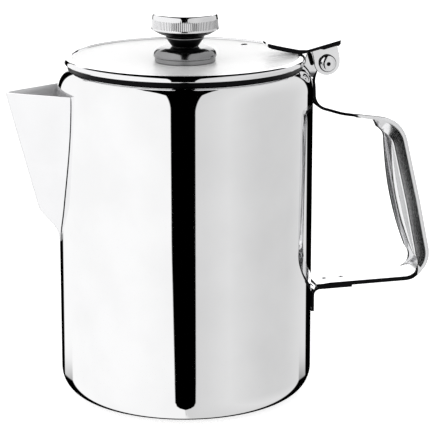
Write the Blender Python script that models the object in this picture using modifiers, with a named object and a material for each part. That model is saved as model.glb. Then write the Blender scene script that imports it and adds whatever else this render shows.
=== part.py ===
"""Stainless steel catering teapot with a hinged flat lid, built as separate sheet-metal pieces.

Frame: metres, +Z up, origin at the centre of the flat base, handle towards +X, spout towards -X.
The lid turns about a rivet that lies along Y above the top of the handle.
"""
import math

import bmesh
import bpy
from mathutils import Vector

MM = 0.001
GAP = 0.3 * MM                      # clearance kept between pieces that touch

# Pot body: one drawn shell
BODY_R = 55.0 * MM
BODY_SHEET = 1.0 * MM
BASE_CORNER_R = 10.6 * MM
WALL_TOP = 134.75 * MM              # where the straight wall ends and the shoulder starts
SHOULDER_R = 11.0 * MM
NECK_R = 50.0 * MM
NECK_TOP = 146.8 * MM
BODY_STEPS = 72

# Lid: dished disc with a rolled rim, and the ring under it that locates it in the neck
RIM_R = 51.8 * MM
RIM_TOP = 148.7 * MM
RIM_BOTTOM = 146.0 * MM
LID_SHEET = 0.8 * MM
LID_CENTRE_Z = 146.2 * MM           # top of the flat centre that carries the knob
LID_FLAT_R = 14.5 * MM
LID_EDGE_Z = 147.95 * MM            # top of the dish where it meets the rim
LID_EDGE_R = 49.4 * MM
SKIRT_R = 48.1 * MM
SKIRT_SHEET = 0.7 * MM
SKIRT_BOTTOM = 141.5 * MM
VENT_R = 1.5 * MM
VENT_FROM_AXIS = 42.8 * MM
VENT_ANGLE = math.radians(41)

# Knob: pressed base, turned stem, knurled cap, screw and washer
SCREW_R = 2.0 * MM
KNOB_BASE_R = 13.6 * MM
KNOB_SKIRT_R = 13.1 * MM
KNOB_BASE_TOP = 152.6 * MM
STEM_FOOT_R = 5.8 * MM
STEM_HEAD_R = 8.3 * MM
STEM_HEAD_Z = 156.9 * MM
SPIGOT_R = 4.0 * MM
CAP_R = 14.5 * MM
CAP_TOP = 167.0 * MM
CAP_EDGE_Z = 160.2 * MM

# Hinge: rivet along Y, through the ears of the lid leaf, the cheeks of the fixed bracket and
# the rolled end of the handle strap
PIN_X = 61.5 * MM
PIN_Z = 143.9 * MM
PIN_R = 2.0 * MM
RIVET_HEAD_R = 3.8 * MM
RIVET_HEAD_H = 1.9 * MM
LEAF_SHEET = 1.0 * MM
LEAF_HALF_WIDTH = 6.0 * MM
EAR_R = 5.6 * MM
CHEEK_SHEET = 1.0 * MM
CHEEK_HALF_WIDTH = LEAF_HALF_WIDTH - LEAF_SHEET - GAP
RIM_SWEEP_R = 9.6 * MM              # the bracket stays inside the path of the lid's rim

# Handle: one strap, rolled at the hinge, folded into a channel along the grip
STRAP_SHEET = 1.1 * MM
KNUCKLE_R = 2.95 * MM
STRAP_X = 56.0 * MM                 # middle of the sheet where it stands against the wall
ARM_HALF_WIDTH = 7.8 * MM
HINGE_HALF_WIDTH = 4.9 * MM
KNUCKLE_HALF_WIDTH = CHEEK_HALF_WIDTH - CHEEK_SHEET - GAP
WEB_HALF_WIDTH = 6.6 * MM
FOLD_LENGTH = 2.0 * MM
SIDE_LENGTH = 6.6 * MM              # developed width of one side of the grip, up to its crease
LIP_LENGTH = 5.0 * MM               # lip beyond the crease, half way down the grip
SIDE_FOLD = 101.0                   # degrees
LIP_FOLD = 24.0                     # degrees, at the crease
FOOT_HALF_WIDTH = 7.0 * MM

# Spout: folded sheet, open on top, keel towards -X
SPOUT_TOP = 135.5 * MM
SPOUT_SHEET = 1.0 * MM
HOLE_R = 2.2 * MM                   # strainer holes through the wall behind the spout


def clear_scene():
    """Remove every object and collection that the file starts with."""
    for item in list(bpy.data.objects):
        bpy.data.objects.remove(item, do_unlink=True)
    for group in list(bpy.data.collections):
        bpy.data.collections.remove(group)


def new_collection(name):
    group = bpy.data.collections.new(name)
    bpy.context.scene.collection.children.link(group)
    return group


def steel(name, colour, roughness):
    """Stainless steel with a given tint and polish."""
    material = bpy.data.materials.new(name)
    material.use_nodes = True
    shader = material.node_tree.nodes["Principled BSDF"]
    shader.inputs["Base Color"].default_value = (*colour, 1.0)
    shader.inputs["Metallic"].default_value = 1.0
    shader.inputs["Roughness"].default_value = roughness
    return material


def mesh_object(name, bm, group, material=None, origin=(0.0, 0.0, 0.0)):
    """Turn a bmesh in world coordinates into an object whose origin is where it is asked for."""
    bmesh.ops.translate(bm, verts=bm.verts, vec=-Vector(origin))
    mesh = bpy.data.meshes.new(name)
    bm.to_mesh(mesh)
    bm.free()
    item = bpy.data.objects.new(name, mesh)
    item.location = origin
    group.objects.link(item)
    if material is not None:
        mesh.materials.append(material)
    return item


def finish_smooth(item):
    item.data.shade_smooth()
    item.data.set_sharp_from_angle(angle=math.radians(35))


def arc(centre, radius, start, end, steps):
    """Points of an arc in a plane, angles in degrees, both ends included."""
    points = []
    for i in range(steps + 1):
        angle = math.radians(start + (end - start) * i / steps)
        points.append((centre[0] + radius * math.cos(angle), centre[1] + radius * math.sin(angle)))
    return points


def turned(name, profile, group, material, steps=48, origin=(0.0, 0.0, 0.0), axis="Z"):
    """A closed (radius, height) profile turned about its axis with a Screw modifier."""
    bm = bmesh.new()
    verts = []
    for radius, height in profile:
        place = (radius, 0.0, height) if axis == "Z" else (radius, height, 0.0)
        verts.append(bm.verts.new(place))
    on_axis = profile[0][0] == 0.0 and profile[-1][0] == 0.0
    count = len(verts)
    for i in range(count - 1 if on_axis else count):
        bm.edges.new((verts[i], verts[(i + 1) % count]))
    mesh = bpy.data.meshes.new(name)
    bm.to_mesh(mesh)
    bm.free()
    mesh.materials.append(material)
    item = bpy.data.objects.new(name, mesh)
    item.location = origin
    group.objects.link(item)
    screw = item.modifiers.new("turn", "SCREW")
    screw.axis = axis
    screw.steps = steps
    screw.render_steps = steps
    screw.use_merge_vertices = True
    screw.merge_threshold = 0.00001
    screw.use_smooth_shade = True
    return item


def prism(outline, low, high):
    """A bmesh plate: an (x, z) outline, counter-clockwise seen from -Y, between two y values."""
    bm = bmesh.new()
    near = [bm.verts.new((x, low, z)) for x, z in outline]
    far = [bm.verts.new((x, high, z)) for x, z in outline]
    bm.faces.new(near)
    bm.faces.new(list(reversed(far)))
    count = len(outline)
    for i in range(count):
        j = (i + 1) % count
        bm.faces.new((near[j], near[i], far[i], far[j]))
    bmesh.ops.recalc_face_normals(bm, faces=bm.faces)
    return bm


def cylinder_y(x, z, radius, low, high, segments=24):
    """A bmesh cylinder that lies along Y."""
    return prism(arc((x, z), radius, 0, 360 - 360 / segments, segments - 1), low, high)


def cutter(name, bm, group):
    item = mesh_object(name, bm, group)
    item.hide_render = True
    item.display_type = "WIRE"
    return item


def boolean(item, other, operation):
    modifier = item.modifiers.new(operation.lower(), "BOOLEAN")
    modifier.object = other
    modifier.operation = operation
    modifier.solver = "EXACT"


# ---------------------------------------------------------------- pot body

def body_profile():
    """Inner side upwards from the axis, over the neck, then the outer side down to the axis."""
    corner_x = BODY_R - BASE_CORNER_R
    shoulder_x = BODY_R - SHOULDER_R
    inside = [(0.0, BODY_SHEET)]
    inside += arc((corner_x, BASE_CORNER_R), BASE_CORNER_R - BODY_SHEET, -90, 0, 4)
    end = math.degrees(math.acos((NECK_R - shoulder_x) / SHOULDER_R))
    inside += arc((shoulder_x, WALL_TOP), SHOULDER_R - BODY_SHEET, 0, end + 4, 4)
    inside += [(NECK_R - 1.2 * BODY_SHEET, WALL_TOP + 9.2 * MM), (NECK_R - 1.2 * BODY_SHEET, NECK_TOP)]
    outside = [(NECK_R - 0.2 * BODY_SHEET, NECK_TOP)]
    outside += arc((shoulder_x, WALL_TOP), SHOULDER_R, end, 0, 5)
    outside += arc((corner_x, BASE_CORNER_R), BASE_CORNER_R, 0, -90, 5)
    outside += [(0.0, 0.0)]
    return inside + outside


def strainer_holes():
    """Five rows of round holes through the wall, fewer to a row as the spout narrows."""
    bm = bmesh.new()
    row_pitch = 8.0 * MM
    hole_pitch = 6.4 * MM
    for row in range(5):
        height = 122.0 * MM - row * row_pitch
        count = 4 - (row + 1) // 2
        for i in range(count):
            angle = math.pi + (i - (count - 1) / 2) * hole_pitch / BODY_R
            pin = bmesh.ops.create_cone(bm, cap_ends=True, segments=12, radius1=HOLE_R, radius2=HOLE_R,
                                        depth=6.0 * MM)
            turn = Vector((math.cos(angle), math.sin(angle), 0.0)).to_track_quat("Z", "Y").to_matrix()
            bmesh.ops.rotate(bm, verts=pin["verts"], matrix=turn)
            middle = BODY_R - BODY_SHEET / 2
            place = (middle * math.cos(angle), middle * math.sin(angle), height)
            bmesh.ops.translate(bm, verts=pin["verts"], vec=place)
    return bm


def make_body(parts, cutters, material):
    body = turned("body_shell", body_profile(), parts, material, BODY_STEPS)
    boolean(body, cutter("strainer_cutter", strainer_holes(), cutters), "DIFFERENCE")


# ---------------------------------------------------------------- spout

def smooth(value):
    value = min(1.0, max(0.0, value))
    return value * value * (3 - 2 * value)


def spout_level(height):
    """Keel distance from the axis, half width at the wall, and roundness of the keel at a height."""
    root = 66.0 * MM
    rise = max(0.0, (height - root) / (SPOUT_TOP - root))
    tail = BODY_R - 2.0 * MM + 2.8 * MM * smooth(rise / 0.06)
    straight = 59.4 * MM + 18.2 * MM * rise
    keel = tail + (straight - tail) * smooth((rise - 0.07) / 0.21)
    half_width = 18.6 * MM * math.sin(math.radians(90) * rise ** 0.8)
    return keel, half_width, 0.35 - 0.22 * rise


def spout_section(height, inset):
    """Points from the wall round the keel and back to the wall, a hyperbola with a rounded nose."""
    keel, half_width, roundness = spout_level(height)
    keel -= 1.15 * inset
    half_width -= 0.55 * inset
    root = BODY_R - 4.0 * MM
    side_points = 7
    points = []
    for i in range(-side_points, side_points + 1):
        along = (abs(i) / side_points) ** 1.6
        across = math.sqrt((along ** 2 + 2 * along * roundness) / (1 + 2 * roundness))
        across = math.copysign(half_width * across, i)
        points.append(Vector((-keel + (keel - root) * along, across, height)))
    return points


def spout_block(heights, inset):
    """Closed block with the spout's outer shape, or the shape of its hollow when inset by the sheet."""
    bm = bmesh.new()
    rows = [[bm.verts.new(point) for point in spout_section(height, inset)] for height in heights]
    for low, high in zip(rows, rows[1:]):
        for i in range(len(low)):
            j = (i + 1) % len(low)
            bm.faces.new((low[j], low[i], high[i], high[j]))
    bm.faces.new(rows[0])
    bm.faces.new(list(reversed(rows[-1])))
    return bm


def make_spout(parts, cutters, material):
    levels = 14
    lowest = 67.5 * MM
    rise = SPOUT_TOP - lowest
    heights = [lowest + rise * (i / (levels - 1)) ** 1.2 for i in range(levels)]
    item = mesh_object("spout", spout_block(heights, 0.0), parts, material)
    inner = [height for height in heights[2:-1]] + [SPOUT_TOP + 1.0 * MM]
    boolean(item, cutter("spout_hollow", spout_block(inner, SPOUT_SHEET), cutters), "DIFFERENCE")
    block = bmesh.new()
    bmesh.ops.create_cone(block, cap_ends=True, segments=144, radius1=BODY_R + GAP,
                          radius2=BODY_R + GAP, depth=0.2)
    bmesh.ops.translate(block, verts=block.verts, vec=(0.0, 0.0, 0.1))
    boolean(item, cutter("spout_trim", block, cutters), "DIFFERENCE")


# ---------------------------------------------------------------- lid and knob

def lid_top(radius):
    """Height of the lid's top face inside the rim: a flat centre and a shallow cone round it."""
    if radius <= LID_FLAT_R:
        return LID_CENTRE_Z
    share = (radius - LID_FLAT_R) / (LID_EDGE_R - LID_FLAT_R)
    return LID_CENTRE_Z + (LID_EDGE_Z - LID_CENTRE_Z) * share


def lid_profile():
    """Underside outwards from the screw hole, round the rolled rim and back over the top."""
    hole = SCREW_R + GAP
    bead = (RIM_R - 1.0 * MM, RIM_TOP - 1.0 * MM)
    under = [(hole, LID_CENTRE_Z - LID_SHEET), (LID_FLAT_R, LID_CENTRE_Z - LID_SHEET),
             (LID_EDGE_R + 1.3 * MM, LID_EDGE_Z - LID_SHEET + 0.1 * MM),
             (LID_EDGE_R + 1.4 * MM, RIM_BOTTOM)]
    rim = [(RIM_R - 0.3 * MM, RIM_BOTTOM)] + arc(bead, 1.0 * MM, -10, 120, 6)
    top = [(LID_EDGE_R, LID_EDGE_Z), (LID_FLAT_R, LID_CENTRE_Z), (hole, LID_CENTRE_Z)]
    return list(reversed(under + rim + top))


def make_lid(parts, cutters, material, inner_material):
    lid = turned("lid_disc", lid_profile(), parts, material, 72)
    vent = bmesh.new()
    bmesh.ops.create_cone(vent, cap_ends=True, segments=16, radius1=VENT_R, radius2=VENT_R, depth=6.0 * MM)
    place = (VENT_FROM_AXIS * math.cos(VENT_ANGLE), VENT_FROM_AXIS * math.sin(VENT_ANGLE), LID_EDGE_Z)
    bmesh.ops.translate(vent, verts=vent.verts, vec=place)
    boolean(lid, cutter("vent_cutter", vent, cutters), "DIFFERENCE")

    top = lid_top(SKIRT_R - SKIRT_SHEET) - LID_SHEET - GAP
    skirt = [(SKIRT_R - SKIRT_SHEET, SKIRT_BOTTOM), (SKIRT_R - SKIRT_SHEET, top), (SKIRT_R, top),
             (SKIRT_R, SKIRT_BOTTOM)]
    turned("lid_skirt", skirt, parts, inner_material, 72)


def make_knob(parts, polished, satin, screw_steel):
    hole = SCREW_R + GAP
    sheet = 1.0 * MM
    foot = LID_CENTRE_Z + GAP
    lip = 148.7 * MM
    crown_r = 9.0 * MM
    crown = arc((crown_r, lip), KNOB_BASE_R - crown_r, 90, 12, 5)
    crown = [(x, lip + (z - lip) * (KNOB_BASE_TOP - lip) / (KNOB_BASE_R - crown_r)) for x, z in crown]
    dish = [(hole, KNOB_BASE_TOP - sheet), (hole, KNOB_BASE_TOP)]
    dish += crown + [(KNOB_BASE_R, lip), (KNOB_SKIRT_R, lip - 0.6 * MM), (KNOB_SKIRT_R, foot)]
    dish += [(KNOB_SKIRT_R - sheet, foot), (KNOB_SKIRT_R - sheet, lip), (crown_r, KNOB_BASE_TOP - sheet)]
    turned("knob_base", dish, parts, polished, 40)

    stem_foot = KNOB_BASE_TOP + GAP
    spigot_top = STEM_HEAD_Z + 4.0 * MM
    bore_top = 159.3 * MM
    stem = [(0.0, spigot_top), (SPIGOT_R, spigot_top), (SPIGOT_R, STEM_HEAD_Z), (STEM_HEAD_R, STEM_HEAD_Z),
            (STEM_HEAD_R, STEM_HEAD_Z - 0.4 * MM), (STEM_FOOT_R, stem_foot), (hole, stem_foot),
            (hole, bore_top), (0.0, bore_top)]
    turned("knob_stem", stem, parts, polished, 40)

    under = STEM_HEAD_Z + GAP
    recess = SPIGOT_R + GAP
    cap = [(0.0, CAP_TOP), (CAP_R - 1.0 * MM, CAP_TOP), (CAP_R - 0.6 * MM, CAP_TOP - 0.2 * MM),
           (CAP_R - 0.4 * MM, CAP_TOP - 0.6 * MM), (CAP_R - 0.2 * MM, CAP_EDGE_Z + 4.3 * MM),
           (CAP_R, CAP_EDGE_Z + 0.7 * MM), (CAP_R - 0.4 * MM, CAP_EDGE_Z), (11.2 * MM, 158.3 * MM),
           (8.0 * MM, under), (recess, under), (recess, spigot_top + GAP), (0.0, spigot_top + GAP)]
    turned("knob_cap", cap, parts, satin, 48)

    washer_top = LID_CENTRE_Z - LID_SHEET - GAP
    washer_low = washer_top - 0.7 * MM
    ring = [(hole, washer_low), (hole, washer_top), (5.5 * MM, washer_top), (5.5 * MM, washer_low)]
    turned("knob_washer", ring, parts, screw_steel, 32)
    head_top = washer_low - GAP
    head_low = head_top - 2.2 * MM
    screw = [(0.0, bore_top - GAP), (SCREW_R, bore_top - GAP), (SCREW_R, head_top), (4.0 * MM, head_top),
             (4.0 * MM, head_low + 0.8 * MM), (3.0 * MM, head_low), (0.0, head_low)]
    turned("knob_screw", screw, parts, screw_steel, 24)


# ---------------------------------------------------------------- hinge

def leaf_top_line():
    """Top face of the leaf from its inner tip, down to the valley over the rim, up the thumb plate."""
    return [(35.6 * MM, 153.0 * MM), (38.0 * MM, 152.3 * MM), (42.7 * MM, 151.5 * MM),
            (49.0 * MM, 150.15 * MM), (52.6 * MM, 150.0 * MM), (54.0 * MM, 150.35 * MM),
            (67.5 * MM, 153.8 * MM)]


def ear_outline():
    """Side of the leaf: a flange under the thumb plate that ends in a half round about the rivet."""
    outline = arc((61.5 * MM, 144.3 * MM), EAR_R, 184, 360, 12)
    outline += [(66.8 * MM, 147.5 * MM), (65.6 * MM, 153.0 * MM)]
    return [(54.6 * MM, 149.9 * MM), (55.4 * MM, 147.0 * MM)] + outline


def make_leaf(parts, cutters, material):
    top = leaf_top_line()
    low = [(x, z - LEAF_SHEET) for x, z in reversed(top)]
    plate = prism(low + top, -LEAF_HALF_WIDTH, LEAF_HALF_WIDTH)
    leaf = mesh_object("lid_leaf", plate, parts, material, (PIN_X, 0.0, PIN_Z))
    inner = LEAF_HALF_WIDTH - LEAF_SHEET
    for side, low_y, high_y in (("near", -LEAF_HALF_WIDTH, -inner), ("far", inner, LEAF_HALF_WIDTH)):
        boolean(leaf, cutter("leaf_ear_" + side, prism(ear_outline(), low_y, high_y), cutters), "UNION")
    hole = cylinder_y(PIN_X, PIN_Z, PIN_R + GAP, -0.01, 0.01)
    boolean(leaf, cutter("leaf_pin_hole", hole, cutters), "DIFFERENCE")


def cheek_outline():
    """Side of the bracket: up from the shoulder, under the rim and the leaf, round the rivet."""
    pin = (PIN_X, PIN_Z)
    shoulder = (BODY_R - SHOULDER_R, WALL_TOP)
    tip = [(55.4 * MM, 137.9 * MM), (57.2 * MM, 140.9 * MM)]
    right = arc(pin, 4.4 * MM, 222, 420, 12) + [(57.0 * MM, 149.6 * MM)]
    left = arc(pin, RIM_SWEEP_R, 149.5, 169, 4) + [(50.6 * MM, 145.4 * MM)]
    return tip + right + left + arc(shoulder, SHOULDER_R + GAP, 57.5, 16, 6)


def make_bracket(parts, cutters, material):
    """Channel welded to the shoulder: a curved web against the pot and two cheeks for the rivet."""
    shoulder = (BODY_R - SHOULDER_R, WALL_TOP)
    inside = arc(shoulder, SHOULDER_R + GAP, 57.5, 16, 6)
    outside = arc(shoulder, SHOULDER_R + GAP + CHEEK_SHEET, 16, 57.5, 6)
    inner = CHEEK_HALF_WIDTH - CHEEK_SHEET
    web = prism(inside + outside, -inner - 0.5 * CHEEK_SHEET, inner + 0.5 * CHEEK_SHEET)
    bracket = mesh_object("hinge_bracket", web, parts, material)
    for side, low_y, high_y in (("near", -CHEEK_HALF_WIDTH, -inner), ("far", inner, CHEEK_HALF_WIDTH)):
        cheek = cutter("bracket_cheek_" + side, prism(cheek_outline(), low_y, high_y), cutters)
        boolean(bracket, cheek, "UNION")
    hole = cylinder_y(PIN_X, PIN_Z, PIN_R + GAP, -0.01, 0.01)
    boolean(bracket, cutter("bracket_pin_hole", hole, cutters), "DIFFERENCE")
    slot = arc((54.2 * MM, 147.4 * MM), 0.6 * MM, 15, 195, 6)
    slot += arc((55.1 * MM, 144.2 * MM), 0.6 * MM, 195, 375, 6)
    boolean(bracket, cutter("bracket_slot", prism(slot, -0.01, 0.01), cutters), "DIFFERENCE")


def make_rivet(parts, material):
    """Rivet with a domed, centre-punched head at -Y, and the collar it is closed over at +Y."""
    seat = LEAF_HALF_WIDTH + GAP
    crown = seat + RIVET_HEAD_H
    near = [(0.0, -crown + 0.5 * MM), (0.6 * MM, -crown), (2.4 * MM, -crown + 0.15 * MM),
            (3.3 * MM, -crown + 0.7 * MM), (RIVET_HEAD_R, -crown + 1.4 * MM), (RIVET_HEAD_R, -seat)]
    shank = [(PIN_R, -seat), (PIN_R, crown - 0.3 * MM), (0.0, crown - 0.3 * MM)]
    turned("hinge_rivet", list(reversed(near + shank)), parts, material, 32, (PIN_X, 0.0, PIN_Z), "Y")
    hole = PIN_R + GAP
    collar = [(hole, seat), (RIVET_HEAD_R, seat), (RIVET_HEAD_R, crown - 1.2 * MM),
              (3.3 * MM, crown - 0.3 * MM), (hole, crown)]
    turned("hinge_collar", list(reversed(collar)), parts, material, 32, (PIN_X, 0.0, PIN_Z), "Y")


# ---------------------------------------------------------------- handle

def rounded_path(corners, step_angle=12.0):
    """Points along straight runs joined by arcs; each corner is (x, z, radius)."""
    points = [Vector(corners[0][:2])]
    for before, corner, after in zip(corners, corners[1:], corners[2:]):
        here = Vector(corner[:2])
        back = (Vector(before[:2]) - here).normalized()
        ahead = (Vector(after[:2]) - here).normalized()
        half = back.angle(ahead) / 2
        trim = corner[2] / math.tan(half)
        centre = here + (back + ahead).normalized() * (corner[2] / math.sin(half))
        start = here + back * trim - centre
        end = here + ahead * trim - centre
        turn = start.angle_signed(end)
        steps = max(2, round(abs(math.degrees(turn)) / step_angle))
        first = math.atan2(start.y, start.x)
        for i in range(steps + 1):
            angle = first - turn * i / steps
            points.append(centre + corner[2] * Vector((math.cos(angle), math.sin(angle))))
    points.append(Vector(corners[-1][:2]))
    return points


def split_long(points, longest):
    """Add points so that no run is longer than asked."""
    result = [points[0]]
    for a, b in zip(points, points[1:]):
        pieces = max(1, math.ceil((b - a).length / longest - 0.001))
        result += [a.lerp(b, (i + 1) / pieces) for i in range(pieces)]
    return result


def strap_path():
    """Middle line of the strap, from its rolled end round the grip to the foot of the lower arm."""
    pin = Vector((PIN_X, PIN_Z))
    lean = 163.0
    curl = [pin + Vector(p) for p in arc((0.0, 0.0), KNUCKLE_R, lean - 318, lean, 18)]
    corners = [(*curl[-1], 0.0), (STRAP_X, 135.4 * MM, 4.0 * MM), (STRAP_X + 0.4 * MM, 124.9 * MM, 6.5 * MM),
               (68.0 * MM, 121.6 * MM, 16.0 * MM), (95.3 * MM, 117.6 * MM, 14.0 * MM),
               (103.8 * MM, 81.3 * MM, 60.0 * MM), (111.1 * MM, 45.9 * MM, 11.0 * MM),
               (57.4 * MM, 44.6 * MM, 0.0)]
    return curl[:-1] + split_long(rounded_path(corners), 6.0 * MM)


def strap_shape(point):
    """Half width of the flat web, length and fold angle of the side, and length of its lip."""
    x, z = point
    if z > 80.0 * MM and x < 75.0 * MM:
        rolled = smooth((z - 134.0 * MM) / (3.5 * MM))
        half = HINGE_HALF_WIDTH + (KNUCKLE_HALF_WIDTH - HINGE_HALF_WIDTH) * rolled
        if z < 126.0 * MM:
            half += (ARM_HALF_WIDTH - HINGE_HALF_WIDTH) * smooth((x - 57.0 * MM) / (18.0 * MM))
        return half * 0.7, half * 0.3, 0.0, 0.0
    flat = ARM_HALF_WIDTH - WEB_HALF_WIDTH
    if z > 80.0 * MM:
        started = smooth((x - 83.0 * MM) / (7.0 * MM))
    else:
        started = smooth((z - 45.5 * MM) / (8.0 * MM)) * smooth((x - 97.0 * MM) / (6.0 * MM))
    down = min(1.0, max(0.0, (113.0 * MM - z) / (60.0 * MM)))
    side = flat + (SIDE_LENGTH - flat) * started
    fold = SIDE_FOLD * smooth(2.5 * started)
    return WEB_HALF_WIDTH, side, fold, LIP_LENGTH * math.sin(math.pi * down) * started


def strap_section(web, side, fold, lip):
    """(across, inwards) points of half a section: web, fold, side, and a lip bent in at a crease."""
    points = [(0.0, 0.0), (web, 0.0)]
    across, inwards = web, 0.0
    fold_length = min(FOLD_LENGTH, side)
    for i in range(6):
        done = (i + 0.5) / 6 * side
        angle = math.radians(fold) * smooth(done / fold_length)
        across += math.cos(angle) * side / 6
        inwards += math.sin(angle) * side / 6
        points.append((across, inwards))
    angle = math.radians(fold + LIP_FOLD * min(1.0, lip / MM))
    reach = max(lip, 0.1 * MM)
    points.append((across + math.cos(angle) * reach, inwards + math.sin(angle) * reach))
    return points


def sheet_along(name, path, section_at, parts, material, thickness, origin=(0.0, 0.0, 0.0)):
    """Sweep half sections along an (x, z) path, mirror them across y = 0 and give them thickness."""
    bm = bmesh.new()
    rows = []
    for i, point in enumerate(path):
        tangent = (path[min(i + 1, len(path) - 1)] - path[max(i - 1, 0)]).normalized()
        inward = Vector((tangent.y, -tangent.x))
        half = section_at(point)
        line = [(-across, depth) for across, depth in reversed(half[1:])] + half
        row = []
        for across, depth in line:
            row.append(bm.verts.new((point.x + inward.x * depth, across, point.y + inward.y * depth)))
        rows.append(row)
    for a, b in zip(rows, rows[1:]):
        for i in range(len(a) - 1):
            bm.faces.new((a[i], a[i + 1], b[i + 1], b[i]))
    item = mesh_object(name, bm, parts, material, origin)
    shell = item.modifiers.new("sheet", "SOLIDIFY")
    shell.thickness = thickness
    shell.offset = 0.0
    return item


def make_handle(parts, material):
    sheet_along("handle_strap", strap_path(),
                lambda point: strap_section(*strap_shape(point)),
                parts, material, STRAP_SHEET)
    arm_low = 44.47 * MM
    drop = GAP + STRAP_SHEET
    corners = [(STRAP_X, 32.6 * MM, 0.0), (STRAP_X, arm_low - drop, 3.2 * MM),
               (74.0 * MM, arm_low + 0.43 * MM - drop, 0.0)]
    foot_section = [(0.0, 0.0), (FOOT_HALF_WIDTH, 0.0)]
    sheet_along("handle_foot", rounded_path(corners), lambda point: foot_section,
                parts, material, STRAP_SHEET)


def main():
    clear_scene()
    parts = new_collection("teapot")
    cutters = new_collection("cutters")
    polished = steel("polished_steel", (0.78, 0.78, 0.79), 0.06)
    satin = steel("turned_steel", (0.72, 0.72, 0.73), 0.22)
    inner = steel("inner_steel", (0.6, 0.6, 0.61), 0.35)
    make_body(parts, cutters, polished)
    make_spout(parts, cutters, polished)
    make_lid(parts, cutters, polished, inner)
    make_knob(parts, polished, satin, inner)
    make_leaf(parts, cutters, polished)
    make_bracket(parts, cutters, polished)
    make_rivet(parts, satin)
    make_handle(parts, polished)


main()
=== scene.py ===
import math

import bmesh
import bpy
from mathutils import Matrix, Vector


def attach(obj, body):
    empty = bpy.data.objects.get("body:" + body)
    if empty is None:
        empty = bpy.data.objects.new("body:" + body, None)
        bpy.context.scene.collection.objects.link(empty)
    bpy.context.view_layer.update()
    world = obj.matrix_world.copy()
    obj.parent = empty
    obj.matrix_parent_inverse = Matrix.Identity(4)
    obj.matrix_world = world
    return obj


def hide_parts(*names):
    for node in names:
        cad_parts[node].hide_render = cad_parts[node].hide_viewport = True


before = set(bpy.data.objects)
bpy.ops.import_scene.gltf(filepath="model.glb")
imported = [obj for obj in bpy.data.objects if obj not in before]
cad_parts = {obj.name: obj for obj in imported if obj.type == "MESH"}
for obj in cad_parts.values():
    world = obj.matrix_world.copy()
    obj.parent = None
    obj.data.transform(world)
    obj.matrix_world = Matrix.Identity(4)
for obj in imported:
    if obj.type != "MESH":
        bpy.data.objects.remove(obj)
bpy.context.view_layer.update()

MM = 0.001
GAP = 0.3 * MM                      # clearance kept between pieces that touch
SHEET = 1.0 * MM                    # thickness of the body and spout

BODY_R = 55.0 * MM
CORNER_R = 10.6 * MM                # rounded bottom corner
WALL_TOP = 134.75 * MM              # where the straight wall ends and the shoulder starts
SHOULDER_R = 11.0 * MM
NECK_R = 50.0 * MM
SPOUT_TOP = 135.5 * MM

LID_SHEET = 0.8 * MM
LID_Z = 146.2 * MM                  # top of the flat centre that carries the knob
LID_FLAT_R = 14.5 * MM
LID_EDGE_R = 49.4 * MM              # where the dished top meets the rolled rim
LID_EDGE_Z = 147.95 * MM
SCREW_HOLE_R = 2.3 * MM

PIN_X = 61.5 * MM                   # the hinge's axis
PIN_Z = 143.9 * MM
PIN_HOLE_R = 2.3 * MM
RIVET_HEAD_R = 3.8 * MM
RIVET_SEAT = 6.3 * MM               # from the middle of the hinge to under the rivet's head

STRAP_SHEET = 1.1 * MM
VISIBLE_SHEET = 1.3 * MM            # the handle's sheet as modelled here, with its polished edges
LOW_ARM_SHEET = 1.9 * MM            # the same on the lower arm, whose edge looks heavier
ARM_Z = 44.6 * MM                   # middle of the lower arm's sheet where it meets the foot

VIEW_TURN = math.radians(12)        # the camera stands this far round towards the spout


# ---------------------------------------------------------------- materials

def node_material(name):
    material = bpy.data.materials.new(name)
    material.use_nodes = True
    return material, material.node_tree


def value_node(tree, operation, *values):
    """A Math node; each value is a number or another node's output."""
    node = tree.nodes.new("ShaderNodeMath")
    node.operation = operation
    for i, value in enumerate(values):
        if isinstance(value, (int, float)):
            node.inputs[i].default_value = value
        else:
            tree.links.new(value, node.inputs[i])
    return node.outputs["Value"]


def remap(tree, value, old, new, shape="LINEAR"):
    """The value taken from the range old to the range new, and held at their ends."""
    node = tree.nodes.new("ShaderNodeMapRange")
    node.interpolation_type = shape
    for name, number in zip(("From Min", "From Max", "To Min", "To Max"), (*old, *new)):
        node.inputs[name].default_value = number
    tree.links.new(value, node.inputs["Value"])
    return node.outputs["Result"]


def noise(tree, place, scale, detail):
    node = tree.nodes.new("ShaderNodeTexNoise")
    node.inputs["Scale"].default_value = scale
    node.inputs["Detail"].default_value = detail
    tree.links.new(place, node.inputs["Vector"])
    return node.outputs["Fac"]


def bump(tree, height, strength, distance, normal=None):
    node = tree.nodes.new("ShaderNodeBump")
    node.inputs["Strength"].default_value = strength
    node.inputs["Distance"].default_value = distance
    tree.links.new(height, node.inputs["Height"])
    if normal:
        tree.links.new(normal, node.inputs["Normal"])
    return node.outputs["Normal"]


def painted_gap_shade(tree, place, colour, top):
    """Darken a colour below the height top: painted shade and dark reflection in the gap where the piece
    meets the pot's shoulder.
    """
    fade_height = 1.2 * MM
    height = tree.nodes.new("ShaderNodeSeparateXYZ")
    tree.links.new(place, height.inputs["Vector"])
    mixed = tree.nodes.new("ShaderNodeMix")
    mixed.data_type = "RGBA"
    mixed.inputs["B"].default_value = (0.1, 0.1, 0.105, 1.0)
    tree.links.new(remap(tree, height.outputs["Z"], (top - fade_height, top), (1.0, 0.0)),
                   mixed.inputs["Factor"])
    tree.links.new(colour, mixed.inputs["A"])
    return mixed.outputs["Result"]


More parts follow.
